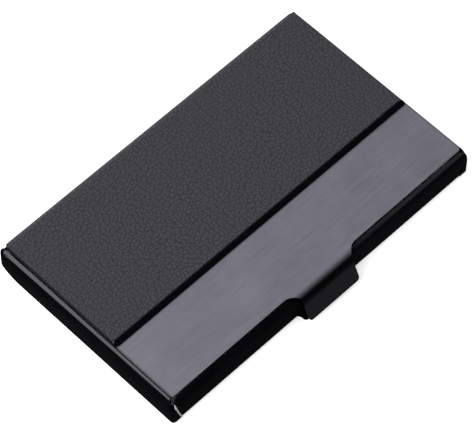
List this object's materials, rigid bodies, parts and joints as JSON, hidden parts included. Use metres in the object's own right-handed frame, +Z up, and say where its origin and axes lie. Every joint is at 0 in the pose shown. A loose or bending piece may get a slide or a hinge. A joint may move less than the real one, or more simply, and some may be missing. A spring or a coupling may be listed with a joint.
{
  "type": "business card case",
  "caption": "Slim hinged metal card case: brushed lid with thumb tab, black bead and leather panel over a black tray; a card plate rises as the lid opens.",
  "frame": {"origin": "middle of the footprint, on the plane the case lies on", "axes": "+X along the length to the right, +Y from the thumb tab towards the hinge, +Z up out of the lid"},
  "size_m": [0.096, 0.0606, 0.0094],
  "materials": {
    "tray_black": "gloss black",
    "wall_black": "gloss black",
    "pin_steel": "turned",
    "washer_steel": "spring temper",
    "lid_steel": "gunmetal, brushed along the length",
    "trim_black": "gloss",
    "backing_board": "matt board",
    "panel_leather": "fine pebbled grain",
    "plate_aluminium": "satin"
  },
  "bodies": {
    "tray": {"base_shell": "tray_black", "end_wall_left": "wall_black", "end_wall_right": "wall_black", "hinge_pin_left": "pin_steel", "hinge_pin_right": "pin_steel", "spring_washer_left": "washer_steel", "spring_washer_right": "washer_steel"},
    "lid": {"lid_plate": "lid_steel", "edge_trim": "trim_black", "leather_backing": "backing_board", "leather_panel": "panel_leather"},
    "lifter": {"card_lifter": "plate_aluminium"}
  },
  "joints": [
    {"name": "lid_hinge", "type": "hinge", "parent": "tray", "child": "lid", "pos_m": [0, 0.0278, 0.007], "axis": [-1, 0, 0], "range_deg": [0, 105]},
    {"name": "lifter_hinge", "type": "hinge", "parent": "tray", "child": "lifter", "pos_m": [0, 0.0278, 0.007], "axis": [-1, 0, 0], "range_deg": [0, 26.5]}
  ],
  "couplings": [
    {"joint": "lifter_hinge", "follows": "lid_hinge", "ratio": 0.25}
  ]
}
